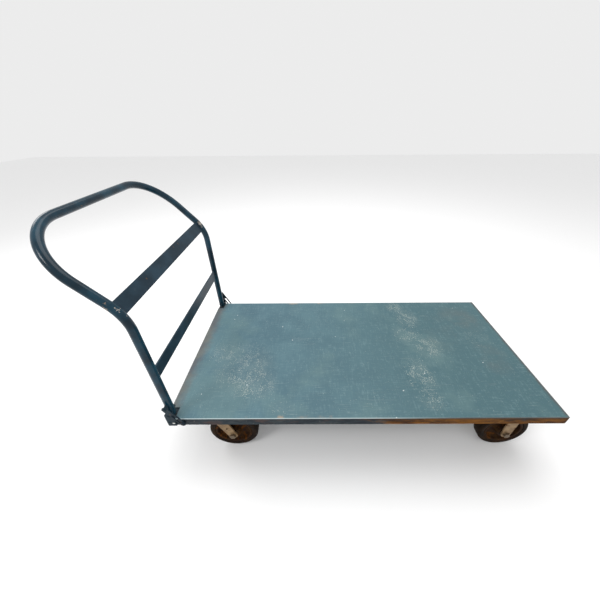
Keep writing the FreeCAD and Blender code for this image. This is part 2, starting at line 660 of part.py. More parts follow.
def plate_nuts(label, x):
    """Nuts below the caster plates."""
    span = (f"{PLATE_BOTTOM} - nut_height", PLATE_BOTTOM)
    nuts = []
    for side in SIDES.values():
        for place in bolt_places(x, side):
            name = f"{label}_{len(nuts)}"
            outside = hexagon(name + "_outside", "z", place, span, "bolt_head_radius")
            nuts.append(cut(name, outside, rod(name + "_bore", "z", place, span, "bolt_radius")))
    node(group(label + "_group", nuts), label)


# ---- the cart ----

deck_sheet()
angle_rail("right_rail", "deck_length", 0, DECK_START, f"-{HALF_WIDTH}")
angle_rail("left_rail", "deck_length", 180, DECK_END, HALF_WIDTH)
angle_rail("open_end_rail", "deck_width", 90, DECK_END, f"-{HALF_WIDTH}")
angle_rail("handle_end_rail", "deck_width", -90, DECK_START, HALF_WIDTH)
caster_channel("swivel_channel", SWIVEL_X)
caster_channel("rigid_channel", RIGID_X)
MIDDLE = f"({DECK_START} + {DECK_END}) / 2"
deck_stiffener("handle_side_stiffener", f"({MIDDLE} - stiffener_spacing / 2)")
deck_stiffener("open_side_stiffener", f"({MIDDLE} + stiffener_spacing / 2)")

handle_tube()
cope = tube_cope()
cross_bar("upper_cross_bar", f"{DECK_START} - upper_bar_inset", "deck_top + upper_bar_height",
          "upper_bar_tilt", cope)
cross_bar("lower_cross_bar", LEG_X, "deck_top + lower_bar_height", "0", cope)
bracket_rivets("bracket_rivets")
for side_name, side in SIDES.items():
    foot_bracket(side_name + "_foot_bracket", side)
    pivot_pin(side_name + "_pivot_pin", side)
    pivot_bush(side_name + "_pivot_bush", side)
    stay(side_name + "_stay", side)
    stay_rivet(side_name + "_stay_rivet", side, cope)
    catch_stud(side_name + "_catch_stud", side)
    rigid_caster(side_name + "_rigid", side)
    swivel_caster(side_name + "_swivel", side)
for kind, x in (("swivel", SWIVEL_X), ("rigid", RIGID_X)):
    plate_bolts(kind + "_plate_bolts", x)
    plate_nuts(kind + "_plate_nuts", x)

doc.recompute()
failed = [item.Label for item in doc.Objects if "Invalid" in item.State or "Error" in item.State]
failed += [item.Label for item in nodes if item.Shape.isNull() or not item.Shape.isValid()]
if failed:
    raise RuntimeError("these objects failed: " + ", ".join(failed))

os.makedirs("parts", exist_ok=True)
for item in nodes:
    item.Shape.exportStep(f"parts/{item.Label}.step")
print(len(nodes), "sub-parts written")
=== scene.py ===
# %% [markdown]
# # Folding platform cart
#
# This lesson dresses a steel platform cart: a flat sheet-steel deck on angle iron, a bent tube
# handle that folds down over the deck, and four heavy casters. The engineering model gives every
# size. We load it first, and measure the deck and the handle tube before anything is added to it.

# %% Load the engineering model
import json
import math

import bmesh
import bpy
import numpy as np
from mathutils import Matrix, Vector


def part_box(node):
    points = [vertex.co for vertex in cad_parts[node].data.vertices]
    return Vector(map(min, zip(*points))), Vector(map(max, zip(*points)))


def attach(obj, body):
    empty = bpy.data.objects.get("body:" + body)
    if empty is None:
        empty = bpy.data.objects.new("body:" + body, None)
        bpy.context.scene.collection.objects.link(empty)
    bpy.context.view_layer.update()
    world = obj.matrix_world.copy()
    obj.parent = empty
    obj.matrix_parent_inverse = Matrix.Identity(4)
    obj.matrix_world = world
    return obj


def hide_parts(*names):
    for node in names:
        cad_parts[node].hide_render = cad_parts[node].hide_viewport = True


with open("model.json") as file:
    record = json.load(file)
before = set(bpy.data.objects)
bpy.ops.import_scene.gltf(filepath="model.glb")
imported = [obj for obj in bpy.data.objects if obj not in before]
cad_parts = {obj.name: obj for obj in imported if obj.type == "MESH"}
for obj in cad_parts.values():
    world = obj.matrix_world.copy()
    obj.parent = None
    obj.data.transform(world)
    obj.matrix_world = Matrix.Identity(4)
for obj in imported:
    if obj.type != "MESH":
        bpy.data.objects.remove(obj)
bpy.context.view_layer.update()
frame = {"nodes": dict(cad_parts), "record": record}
nodes = frame["nodes"]

# %% [markdown]
# Most places on the cart follow from a few boxes: the deck, the handle tube and the wheels.
# Taking them from the model keeps the looks and the engineering in step. The two cross bars are
# given by their height above the deck, as in the model's own drawing.

# %% Places worked out from the frame
deck_low, deck_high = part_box("deck_sheet")
tube_low, tube_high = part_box("handle_tube")
DECK_TOP = deck_high.z
DECK_START = deck_low.x
DECK_END = deck_high.x
HALF_WIDTH = deck_high.y
SIDES = {"left": 1, "right": -1}
UPPER_BAR_Z = DECK_TOP + 0.442
LOWER_BAR_Z = DECK_TOP + 0.196
print(f"deck {DECK_END - DECK_START:.3f} by {2 * HALF_WIDTH:.3f} m, {DECK_TOP:.3f} m above the floor")

# %% [markdown]
# ## Surfaces from grids
#
# A new piece is a grid of points: rows along one parameter, columns along the other. The helper
# below turns such a grid into a mesh. A column direction that closes on itself, as round a tube,
# wraps its last column to its first, and the faces are index arithmetic on whole arrays.

# %% A grid of points becomes a mesh
def grid_piece(name, points, wrap=True):
    """Surface through points[row, column]; wrap joins the last column to the first."""
    rows, columns = points.shape[:2]
    index = np.arange(rows * columns).reshape(rows, columns)
    right = np.roll(index, -1, axis=1) if wrap else index[:, 1:]
    here = index if wrap else index[:, :-1]
    quads = np.stack([here[:-1], right[:-1], right[1:], here[1:]], axis=-1).reshape(-1, 4)
    mesh = bpy.data.meshes.new(name)
    mesh.vertices.add(rows * columns)
    mesh.vertices.foreach_set("co", points.reshape(-1).astype(np.float32))
    mesh.loops.add(quads.size)
    mesh.loops.foreach_set("vertex_index", quads.reshape(-1).astype(np.int32))
    mesh.polygons.add(len(quads))
    mesh.polygons.foreach_set("loop_start", np.arange(len(quads), dtype=np.int32) * 4)
    mesh.update(calc_edges=True)
    mesh.validate()
    piece = bpy.data.objects.new(name, mesh)
    bpy.context.scene.collection.objects.link(piece)
    return piece


# %% [markdown]
# Ends are closed by letting the last rows shrink to a point or a line, which leaves doubled
# vertices there. Merging them makes the skin watertight, and the normals are then turned outward.

# %% Close seams and smooth a piece
def finish_piece(piece, body, sharp_angle):
    """Merge doubled points, turn faces outward, shade smooth up to an angle, ride on a body."""
    work = bmesh.new()
    work.from_mesh(piece.data)
    bmesh.ops.remove_doubles(work, verts=work.verts, dist=1e-6)
    bmesh.ops.dissolve_degenerate(work, edges=work.edges, dist=1e-7)
    bmesh.ops.recalc_face_normals(work, faces=work.faces)
    work.to_mesh(piece.data)
    work.free()
    piece.data.shade_smooth()
    piece.data.set_sharp_from_angle(angle=math.radians(sharp_angle))
    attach(piece, body)


# %% [markdown]
# ## Shader sums as plain expressions
#
# Wear, grain and dirt are sums and products of noises. `Value` wraps one shader socket, so that
# `1 - mask * 0.5` adds the Math nodes by itself. `Paint` holds one material and adds any other
# node from its type, settings and inputs.

# %% Shader expressions
class Value:
    """One output socket; arithmetic on it adds Math nodes to its material."""

    def __init__(self, paint, socket):
        self.paint = paint
        self.socket = socket

    def maths(self, operation, *others):
        """One Math node; its inputs are the values or sockets given, in order."""
        return self.paint.node("ShaderNodeMath", {"operation": operation}, dict(enumerate(others)))

    def __add__(self, other):
        return self.maths("ADD", self, other)

    def __sub__(self, other):
        return self.maths("SUBTRACT", self, other)

    def __rsub__(self, other):
        return self.maths("SUBTRACT", other, self)

    def __mul__(self, other):
        return self.maths("MULTIPLY", self, other)

    def larger(self, other):
        """Whichever of the two is larger: joins masks without adding them up."""
        return self.maths("MAXIMUM", self, other)

    def size(self):
        """The value without its sign."""
        return self.maths("ABSOLUTE", self)

    __radd__ = __add__
    __rmul__ = __mul__


class Paint:
    """A material made of procedural layers, read from Object coordinates in metres."""

    def __init__(self, name, **constants):
        self.material = bpy.data.materials.new(name)
        self.material.use_nodes = True
        self.tree = self.material.node_tree
        self.shader = self.tree.nodes["Principled BSDF"]
        for key, setting in constants.items():
            self.shader.inputs[key.replace("_", " ")].default_value = setting
        self.place = self.node("ShaderNodeTexCoord", {}, {}, "Object")

    def node(self, kind, settings, inputs, output=0):
        """Add a node: settings first, then values or links of its sockets."""
        added = self.tree.nodes.new(kind)
        for key, setting in settings.items():
            setattr(added, key, setting)
        for key, given in inputs.items():
            if isinstance(given, Value):
                self.tree.links.new(given.socket, added.inputs[key])
            else:
                added.inputs[key].default_value = given
        return Value(self, added.outputs[output])

    def xyz(self):
        """The three Object coordinates as separate values."""
        split = self.node("ShaderNodeSeparateXYZ", {}, {0: self.place})
        outputs = split.socket.node.outputs
        return [Value(self, socket) for socket in outputs]

    def noise(self, scale, detail=3.0, roughness=0.5, stretch=(1, 1, 1), turn=0.0, seed=0.0):
        """Soft noise from 0 to 1, about scale lumps to a metre, stretched and turned about Z."""
        settings = {"Location": (seed, seed * 0.7, seed * 1.3), "Rotation": (0, 0, turn), "Scale": stretch}
        place = self.node("ShaderNodeMapping", {}, {"Vector": self.place, **settings})
        values = {"Vector": place, "Scale": scale, "Detail": detail, "Roughness": roughness}
        return self.node("ShaderNodeTexNoise", {}, values, "Fac")

    def cells(self, scale, seed=0.0):
        """Distance to the nearest of scattered points, about scale points to a metre."""
        place = self.node("ShaderNodeMapping", {}, {"Vector": self.place, "Location": (seed, seed, seed)})
        return self.node("ShaderNodeTexVoronoi", {}, {"Vector": place, "Scale": scale}, "Distance")

    def step(self, value, low, high):
        """Smooth step: 0 below low, 1 above high; falls instead where low is above high."""
        rising = low < high
        inputs = {"Value": value, "From Min": min(low, high), "From Max": max(low, high),
                  "To Min": 0.0 if rising else 1.0, "To Max": 1.0 if rising else 0.0}
        return self.node("ShaderNodeMapRange", {"interpolation_type": "SMOOTHSTEP"}, inputs, "Result")

    def mix(self, mask, below, above):
        """Colour below where the mask is 0, above where it is 1."""
        colours = [given if isinstance(given, Value) else (*given, 1.0) for given in (below, above)]
        inputs = {0: mask, 6: colours[0], 7: colours[1]}
        settings = {"data_type": "RGBA", "clamp_factor": True}
        return self.node("ShaderNodeMix", settings, inputs, 2)

    def finish(self, colour, roughness, height=None, depth=0.0005, metallic=None):
        """Join the layers to the shader; height is relief, depth its size in metres."""
        wanted = {"Base Color": colour, "Roughness": roughness, "Metallic": metallic}
        for key, given in wanted.items():
            if isinstance(given, Value):
                self.tree.links.new(given.socket, self.shader.inputs[key])
            elif given is not None:
                self.shader.inputs[key].default_value = given
        if height is not None:
            inputs = {"Height": height, "Strength": 1.0, "Distance": depth}
            bump = self.node("ShaderNodeBump", {}, inputs)
            self.tree.links.new(bump.socket, self.shader.inputs["Normal"])
        return self.material


# %% [markdown]
# ## Deck paint
#
# The deck is blue-green paint, brushed on thin and rubbed grey by years of boxes. It is mottled
# at the size of a hand, speckled where grit was ground in, scratched along its length, bare at
# the edges, and brown along the end where people stand to push. A pale line along the sides is
# partly worn paint and partly a painted highlight, and a dark band low on the sheet's edge is a
# painted shadow line. Each of those marks is one mask from 0 to 1, and the paint's colour is mixed
# through them in turn.

# %% Marks that sit at one place on the deck
def patch(paint, x, y, centre, reach):
    """1 at a patch's centre, falling to 0 at its reach, as an ellipse on the deck."""
    across = (x - centre[0]) * (1 / reach[0])
    along = (y - centre[1]) * (1 / reach[1])
    return paint.step(across * across + along * along, 1.0, 0.05)


def patches(paint, x, y, places):
    """The strongest of several patches, each given as centre, reach and strength."""
    total = None
    for centre, reach, strength in places:
        spot = patch(paint, x, y, centre, reach) * strength
        total = spot if total is None else total.larger(spot)
    return total


SCUFFS = [((-0.37, -0.11), (0.14, 0.18), 0.85), ((-0.32, -0.20), (0.12, 0.095), 1.0),
          ((-0.46, -0.03), (0.09, 0.08), 0.8), ((-0.20, -0.30), (0.06, 0.04), 0.5),
          ((0.345, 0.30), (0.06, 0.07), 1.0), ((0.385, 0.20), (0.07, 0.10), 1.0),
          ((0.35, 0.08), (0.08, 0.08), 0.85), ((0.42, 0.00), (0.08, 0.09), 1.0),
          ((0.33, -0.16), (0.08, 0.12), 1.0), ((0.34, -0.27), (0.06, 0.06), 0.9),
          ((0.66, 0.05), (0.08, 0.08), 0.45)]
STAINS = [((0.655, 0.20), (0.13, 0.13), 1.0), ((0.67, -0.07), (0.09, 0.11), 0.8),
          ((0.50, 0.10), (0.12, 0.16), 0.45), ((-0.33, -0.13), (0.12, 0.14), 0.35)]
print("deck has", len(SCUFFS), "scuffed places and", len(STAINS), "stains")


# %% [markdown]
# Four helpers lay the deck's paint in the order in which it came about: the brushed coat, the
# scuffs, the scratches, and what happened along the edges, where a painted highlight and a
# painted shadow line are laid as well. Each takes the colour so far and gives it back with its
# own marks mixed in.

# %% Brushed coat
TEAL, DEEP_TEAL, PALE_TEAL = (0.086, 0.170, 0.203), (0.060, 0.130, 0.165), (0.140, 0.232, 0.255)
DARK_GREEN, GREY_GREEN = (0.042, 0.104, 0.117), (0.110, 0.190, 0.190)
CHALK, FILM, STAIN = (0.500, 0.535, 0.480), (0.230, 0.275, 0.258), (0.120, 0.118, 0.104)


def brushed_coat(paint, x, y, hand):
    """Mix of two blues by noise, then dark green by x, brush lanes both ways, green and brown."""
    broad = paint.noise(2.4, 4, 0.55)
    colour = paint.mix(paint.step(broad * 0.5 + hand * 0.5, 0.38, 0.60), DEEP_TEAL, TEAL)
    colour = paint.mix(paint.step(x, -0.55, 0.55) * 0.85, colour, DARK_GREEN)
    lanes = paint.noise(30, 4, 0.7, stretch=(1, 7, 1), seed=5.0)
    lanes_across = paint.noise(24, 4, 0.7, stretch=(7, 1, 1), seed=8.0)
    brushed = lanes * 0.5 + lanes_across * 0.5
    colour = paint.mix(paint.step(brushed, 0.50, 0.64) * 0.46, colour, PALE_TEAL)
    colour = paint.mix(paint.step(brushed, 0.49, 0.36) * 0.50, colour, DEEP_TEAL)
    green = paint.step(paint.noise(4.2, 4, 0.6, seed=12.0), 0.50, 0.68)
    colour = paint.mix(green * 0.40, colour, GREY_GREEN)
    brown = patches(paint, x, y, STAINS) * paint.step(paint.noise(9, 4, 0.65, seed=14.0), 0.36, 0.64)
    return paint.mix(brown * 0.26, colour, STAIN), brushed


# %% Scuffs and specks of ground-in grit
def scuffed(paint, x, y, hand, colour):
    """A grey film and pale specks in the worn places: a speck is where fine noise is high."""
    worn = patches(paint, x, y, SCUFFS)
    colour = paint.mix(worn * paint.step(hand, 0.32, 0.62) * 0.16, colour, FILM)
    clumps = worn * paint.step(paint.noise(34, 3, 0.6, seed=2.0), 0.30, 0.60)
    grit = paint.noise(340, 1, 0.5, seed=7.0) + clumps * 0.172
    speckle = paint.step(grit, 0.725, 0.78) * paint.step(paint.noise(120, 2, seed=31.0), 0.30, 0.52)
    return paint.mix(speckle * 0.72, colour, CHALK), worn, speckle


# %% Scratches and flecks
def scratched(paint, colour):
    """Lines are noise stretched hundreds of times in one direction and broken up by a second."""
    scratches = paint.step(paint.noise(1, 2, 0.5, stretch=(5, 520, 1), seed=1.0), 0.690, 0.725)
    slanted = paint.step(paint.noise(1, 2, 0.5, stretch=(9, 460, 1), turn=0.35, seed=4.0), 0.70, 0.735)
    crossed = paint.step(paint.noise(1, 2, 0.5, stretch=(460, 8, 1), turn=0.1, seed=6.0), 0.70, 0.735)
    broken = paint.step(paint.noise(8, 3, seed=21.0), 0.50, 0.60)
    marks = (scratches * broken).larger(slanted * broken).larger(crossed * broken * 0.5)
    colour = paint.mix(marks * 0.42, colour, (0.400, 0.460, 0.450))
    chosen = paint.step(paint.noise(7, 2, seed=30.0), 0.50, 0.54)
    flecks = paint.step(paint.cells(21, seed=3.0), 0.052, 0.036) * chosen
    return paint.mix(flecks, colour, (0.700, 0.730, 0.720)), marks


# %% Rubbed ends, chipped sides, worn edges with a painted highlight, and a painted shadow line
def edge_wear_highlight_and_shadow(paint, x, y, z, hand, colour):
    """Each band of wear is a smooth step of the distance to one edge plus a ragged noise; the pale side
    line is worn paint and a painted highlight, and a dark band low on the sheet's edge is a painted shadow
    line.
    """
    ragged = paint.noise(38, 5, 0.7, seed=9.0) * 0.050
    to_handle_end = x - DECK_START + ragged
    far_half = paint.step(y, -0.30, 0.10) * 0.010
    rubbed = paint.step(to_handle_end - far_half, 0.072, 0.024)
    shaded = paint.mix(paint.step(hand, 0.40, 0.60), (0.085, 0.080, 0.085), (0.120, 0.112, 0.098))
    colour = paint.mix(rubbed * 0.80, colour, shaded)
    to_side = y.size() * -1 + HALF_WIDTH + ragged * 0.4
    chipping = paint.step(paint.noise(15, 4, 0.65, seed=17.0), 0.52, 0.64)
    big_chip = patch(paint, x, y, (-0.09, -HALF_WIDTH), (0.07, 0.016)) * paint.step(hand, 0.38, 0.55)
    chipped_stretch = paint.step(x, 0.20, -0.02) * paint.step(x, -0.38, -0.24)
    side_chips = (paint.step(to_side, 0.026, 0.012) * chipping).larger(big_chip) * chipped_stretch
    colour = paint.mix(side_chips * 0.70, colour, (0.330, 0.250, 0.175))
    to_open_end = x * -1 + DECK_END + ragged * 0.4
    colour = paint.mix(paint.step(to_open_end, 0.026, 0.010) * 0.80, colour, (0.066, 0.058, 0.050))
    edge = paint.step(y.size(), HALF_WIDTH - 0.0022, HALF_WIDTH - 0.0010)
    # Pale line along the side edges, stronger toward the handle end: partly worn paint, partly a painted
    # highlight where the edge catches light.
    worn_and_highlit_edge = edge * paint.step(x, 0.45, 0.05) * paint.step(hand, 0.22, 0.36)
    dull_edge = edge * paint.step(x, 0.10, 0.50)
    colour = paint.mix(dull_edge * 0.65, colour, (0.085, 0.065, 0.058))
    colour = paint.mix(worn_and_highlit_edge * 0.85, colour, (0.470, 0.560, 0.570))
    # Painted shadow line: the bottom of the sheet's edge and its underside are darkened where the sheet
    # meets the rail.
    below = paint.step(z, DECK_TOP - 0.0024, DECK_TOP - 0.0028)
    return paint.mix(below * 0.85, colour, (0.035, 0.045, 0.052)), side_chips


# %% Deck paint
def deck_paint():
    """The four layers in turn, then gloss and relief from the same masks."""
    paint = Paint("deck_paint", Specular_IOR_Level=0.35)
    x, y, z = paint.xyz()
    hand = paint.noise(12, 5, 0.6, seed=3.1)
    colour, brushed = brushed_coat(paint, x, y, hand)
    colour, worn, speckle = scuffed(paint, x, y, hand, colour)
    colour, marks = scratched(paint, colour)
    colour, side_chips = edge_wear_highlight_and_shadow(paint, x, y, z, hand, colour)
    roughness = 0.48 + hand * 0.14 + worn * 0.12 + speckle * 0.1
    relief = hand * 0.25 + brushed * 0.35 + speckle * 0.35 - marks * 0.5 - side_chips * 0.6
    return paint.finish(colour, roughness, relief, depth=0.0006)


DECK_PAINT = deck_paint()
print("deck paint has", len(DECK_PAINT.node_tree.nodes), "nodes")

# %% [markdown]
# ## Handle, bar and frame paint
#
# The handle is a much darker gloss: navy enamel that still shines where hands polish it, with
# small chips down to brown primer. The rails took the knocks, so their paint gives way to rust,
# little at the handle end and nearly all of it at the open end.

# %% Gloss enamel for the handle
BARE_SPOT = (DECK_START + 0.022, DECK_TOP - 0.018)
BARE_STEEL, PRIMER = (0.620, 0.620, 0.600), (0.330, 0.300, 0.270)
WELD_Y = HALF_WIDTH - 0.018


def near_bare_spot(paint, x, y, z):
    """1 inside a few millimetres of one knocked-bare rivet on the near foot bracket."""
    across, upward = x - BARE_SPOT[0], z - BARE_SPOT[1]
    far = across * across + upward * upward + paint.noise(160, 2, seed=41.0) * 0.000012
    return paint.step(far, 0.000030, 0.000018) * paint.step(y, 0.0, -0.1)


def enamel(name, dark, light, chip, gloss, chip_share, shine):
    """Dark and light mixed by noise, dust over it; chips where noise plus nearness to a weld is high."""
    paint = Paint(name, Specular_IOR_Level=shine)
    x, y, z = paint.xyz()
    soft = paint.noise(14, 4, 0.55)
    colour = paint.mix(paint.step(soft, 0.35, 0.68), dark, light)
    dust = paint.step(paint.noise(60, 5, 0.7, seed=4.0), 0.56, 0.78)
    colour = paint.mix(dust * 0.12, colour, (0.120, 0.140, 0.145))
    to_weld = (z - UPPER_BAR_Z).size() + (y.size() * -1 + WELD_Y).size()
    knocked = paint.step(to_weld, 0.055, 0.010)
    low = 0.70 - chip_share
    chips = paint.step(paint.noise(48, 5, 0.66, seed=11.0) + knocked * 0.11, low, low + 0.015)
    colour = paint.mix(chips, colour, paint.mix(knocked, chip, PRIMER))
    colour = paint.mix(near_bare_spot(paint, x, y, z), colour, BARE_STEEL)
    roughness = gloss + soft * 0.10 + dust * 0.12 + chips * 0.35
    relief = soft * 0.25 - chips * 0.5
    return paint.finish(colour, roughness, relief, depth=0.0006)


HANDLE_PAINT = enamel("handle_paint", dark=(0.002, 0.014, 0.025), light=(0.006, 0.040, 0.066),
                      chip=(0.080, 0.050, 0.034), gloss=0.17, chip_share=0.01, shine=0.26)
BAR_PAINT = enamel("bar_paint", dark=(0.006, 0.020, 0.033), light=(0.014, 0.038, 0.060),
                   chip=(0.090, 0.058, 0.036), gloss=0.36, chip_share=0.02, shine=0.2)
BRACKET_PAINT = enamel("bracket_paint", dark=(0.005, 0.013, 0.022), light=(0.013, 0.029, 0.040),
                       chip=(0.120, 0.080, 0.055), gloss=0.48, chip_share=0.05, shine=0.15)
print("enamels:", HANDLE_PAINT.name, BAR_PAINT.name, BRACKET_PAINT.name)


# %% Rusted frame paint
def frame_paint(name, rust_low, rust_high, steady):
    """Rust where blotch + fine noise + a ramp in x is high; the ramp grows from rust_low to rust_high."""
    paint = Paint(name, Specular_IOR_Level=0.16)
    x, _, z = paint.xyz()
    blotch = paint.noise(8, 5, 0.62, stretch=(1, 1, 2.5))
    fine = paint.noise(60, 5, 0.7, stretch=(0.4, 1, 1.6), seed=6.0)
    colour = paint.mix(paint.step(fine, 0.36, 0.64), (0.005, 0.011, 0.017), (0.020, 0.032, 0.040))
    dusty = paint.step(paint.noise(11, 4, 0.6, stretch=(1, 1, 3), seed=13.0), 0.52, 0.70)
    colour = paint.mix(dusty * 0.30, colour, (0.110, 0.120, 0.115))
    film = paint.step(paint.noise(13, 4, 0.6, stretch=(1, 1, 3), seed=33.0), 0.53, 0.66)
    colour = paint.mix(film * 0.60, colour, (0.070, 0.038, 0.032))
    reach = paint.step(x, rust_low, rust_high) * (1 - steady) + steady
    rust = paint.step(blotch + fine * 0.24 + reach * 0.42, 0.80, 0.98)
    patchy = paint.noise(20, 5, 0.7, stretch=(0.5, 1, 2), seed=15.0)
    scale = paint.mix(paint.step(patchy, 0.36, 0.64), (0.042, 0.017, 0.005), (0.205, 0.078, 0.007))
    bright = paint.step(paint.noise(70, 4, 0.7, stretch=(0.5, 1, 1.5), seed=19.0), 0.55, 0.72)
    scale = paint.mix(bright * 0.55, scale, (0.330, 0.160, 0.035))
    upper_half = paint.step(z, rail_low_z + 0.016, rail_low_z + 0.032)
    scale = paint.mix(upper_half * 0.5, scale, (0.040, 0.026, 0.020))
    colour = paint.mix(rust * 0.92, colour, scale)
    chips = paint.step(paint.noise(95, 4, 0.6, seed=25.0), 0.68, 0.71)
    colour = paint.mix(chips * 0.5, colour, (0.240, 0.215, 0.185))
    roughness = 0.50 + rust * 0.32 + fine * 0.08
    relief = rust * 0.5 + fine * rust * 0.9 - chips * 0.3
    return paint.finish(colour, roughness, relief, depth=0.0008)


rail_low_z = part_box("right_rail")[0].z
RAIL_PAINT = frame_paint("rail_paint", rust_low=-0.30, rust_high=0.42, steady=0.0)
UNDERFRAME_PAINT = frame_paint("underframe_paint", rust_low=-2.0, rust_high=2.0, steady=0.35)
print("the rails start", round(rail_low_z, 3), "m above the floor")


# %% [markdown]
# ## Casters
#
# Forks and plates were plated or painted once and are now tan with dust and rust. The wheels are
# cast iron, rusted brown, with a hard rubber tread whose face is ground dull by the floor.

# %% Caster finishes
def darker(colour, share):
    """The colour with each channel times share."""
    return tuple(share * channel for channel in colour)


def dusty_steel(name, base, rust, settled, rust_share, rough, mirror=0.25, bare=0.5):
    """Dull metal, rust where blotch + fine noise is high, dust over both; metal = neither of them."""
    paint = Paint(name, Specular_IOR_Level=mirror)
    blotch = paint.noise(24, 5, 0.65)
    fine = paint.noise(150, 5, 0.7, seed=5.0)
    rusted = paint.step(blotch + fine * 0.35, 0.92 - rust_share, 1.00 - rust_share)
    colour = paint.mix(paint.step(fine, 0.4, 0.65) * 0.6, base, darker(base, 0.6))
    two_rusts = paint.mix(paint.step(fine, 0.35, 0.62), darker(rust, 0.45), rust)
    colour = paint.mix(rusted, colour, two_rusts)
    dust = paint.step(paint.noise(42, 4, 0.6, seed=9.0), 0.46, 0.66)
    colour = paint.mix(dust * 0.6, colour, settled)
    roughness = rough + rusted * 0.35 + dust * 0.2
    metallic = (1 - rusted) * (1 - dust) * bare
    relief = rusted * 0.5 + fine * 0.5 + blotch * 0.3
    return paint.finish(colour, roughness, relief, depth=0.0007, metallic=metallic)


CASTER_STEEL = dusty_steel("caster_steel", base=(0.235, 0.150, 0.075), rust=(0.120, 0.048, 0.015),
                           settled=(0.330, 0.230, 0.125), rust_share=0.17, rough=0.45)
WHEEL_IRON = dusty_steel("wheel_iron", base=(0.024, 0.009, 0.003), rust=(0.105, 0.036, 0.006),
                         settled=(0.050, 0.026, 0.009), rust_share=0.22, rough=0.60,
                         mirror=0.08, bare=0.15)
FASTENER_STEEL = dusty_steel("fastener_steel", base=(0.150, 0.110, 0.070), rust=(0.110, 0.050, 0.018),
                             settled=(0.180, 0.135, 0.085), rust_share=0.08, rough=0.40)
print("caster finishes:", CASTER_STEEL.name, WHEEL_IRON.name, FASTENER_STEEL.name)


# %% Tread rubber and the table of finishes
def tread_rubber():
    """Dark brown-black rubber, scuffed grey-brown on the rolling face."""
    paint = Paint("tread", Specular_IOR_Level=0.08)
    grain = paint.noise(190, 5, 0.7)
    smear = paint.noise(22, 4, 0.6, seed=8.0)
    colour = paint.mix(paint.step(smear, 0.38, 0.66), (0.008, 0.004, 0.002), (0.021, 0.010, 0.004))
    dust = paint.step(grain * 0.6 + smear * 0.5, 0.55, 0.78)
    colour = paint.mix(dust * 0.45, colour, (0.056, 0.030, 0.011))
    return paint.finish(colour, 0.62 + dust * 0.2, grain * 0.6 + smear * 0.4, depth=0.0007)


TREAD = tread_rubber()
FINISHES = {
    "deck_paint": DECK_PAINT, "handle_paint": HANDLE_PAINT, "bar_paint": BAR_PAINT,
    "bracket_paint": BRACKET_PAINT, "frame_paint": RAIL_PAINT, "underframe_paint": UNDERFRAME_PAINT,
    "caster_steel": CASTER_STEEL, "wheel_iron": WHEEL_IRON, "fastener_steel": FASTENER_STEEL,
    "tread": TREAD,
}
print("made", len(FINISHES), "finishes")

# %% [markdown]
# ## Dress the engineering parts
#
# Each CAD node names its material slot in the record. The finish goes on the node's own slots,
# and nothing about its shape or place changes.

# %% Put the finishes on the CAD nodes
slot_of = {part["node"]: part["material_slot"] for part in frame["record"]["subparts"]}
for name, node in nodes.items():
    for material_slot in node.material_slots:
        material_slot.material = FINISHES[slot_of[name]]
print("dressed", len(slot_of), "nodes")

# %% [markdown]
# New pieces get the same finishes. One call makes the mesh, closes its seams, hangs it on its
# body and paints it.

# %% One call for a new piece
def new_piece(name, points, body, slot_name, sharp_angle=40):
    """Grid, seams, body and finish in one call."""
    piece = grid_piece(name, points)
    finish_piece(piece, body, sharp_angle)
    piece.data.materials.append(FINISHES[slot_name])
    return piece


# %% [markdown]
# ## Handle tube
#
# A tube bender leaves perfectly smooth bends, so the tube is drawn as one swept surface: straight
# runs and circular bends, with a ring of points round each place. The rings need two directions
# square to the path. The loop leans outward in one plane, and that plane's normal is never in
# line with the tube, so it gives both directions everywhere.

# %% A path of straight runs and round bends
def bent_path(corners, radii, spacing):
    """Points along straight runs joined by tangent circular arcs, one arc at each inner corner."""
    corners = [np.array(corner, float) for corner in corners]
    stretches = []
    start = corners[0]
    for before, corner, after, radius in zip(corners, corners[1:], corners[2:], radii):
        back = (before - corner) / np.linalg.norm(before - corner)
        ahead = (after - corner) / np.linalg.norm(after - corner)
        half = math.acos(float(back @ ahead)) / 2
        first = corner + back * radius / math.tan(half)
        centre = corner + (back + ahead) / np.linalg.norm(back + ahead) * radius / math.sin(half)
        arm = (first - centre) / radius
        forward = -back
        sweep = math.pi - 2 * half
        angle = np.linspace(0, sweep, max(4, int(radius * sweep / spacing)))[:, None]
        arc = centre + radius * (np.cos(angle) * arm + np.sin(angle) * forward)
        stretches.append(straight(start, first, 4 * spacing)[:-1])
        stretches.append(arc)
        start = arc[-1]
    stretches.append(straight(start, corners[-1], 4 * spacing)[1:])
    return np.concatenate(stretches)


def straight(start, end, spacing):
    """Evenly spaced points from start to end."""
    count = max(2, int(np.linalg.norm(end - start) / spacing) + 1)
    return start + np.linspace(0, 1, count)[:, None] * (end - start)


def swept(path, radius, sides, reference):
    """Rings square to a path: path + radius * (cos a * n1 + sin a * n2) at each place."""
    tangent = np.gradient(path, axis=0)
    tangent /= np.linalg.norm(tangent, axis=1)[:, None]
    reference = np.array(reference, float)
    first = reference - (tangent @ reference)[:, None] * tangent
    first /= np.linalg.norm(first, axis=1)[:, None]
    second = np.cross(tangent, first)
    angle = np.linspace(0, 2 * math.pi, sides, endpoint=False)
    radius = np.broadcast_to(radius, len(path))[:, None, None]
    cosine, sine = np.cos(angle)[None, :, None], np.sin(angle)[None, :, None]
    ring = cosine * first[:, None] + sine * second[:, None]
    return path[:, None] + radius * ring


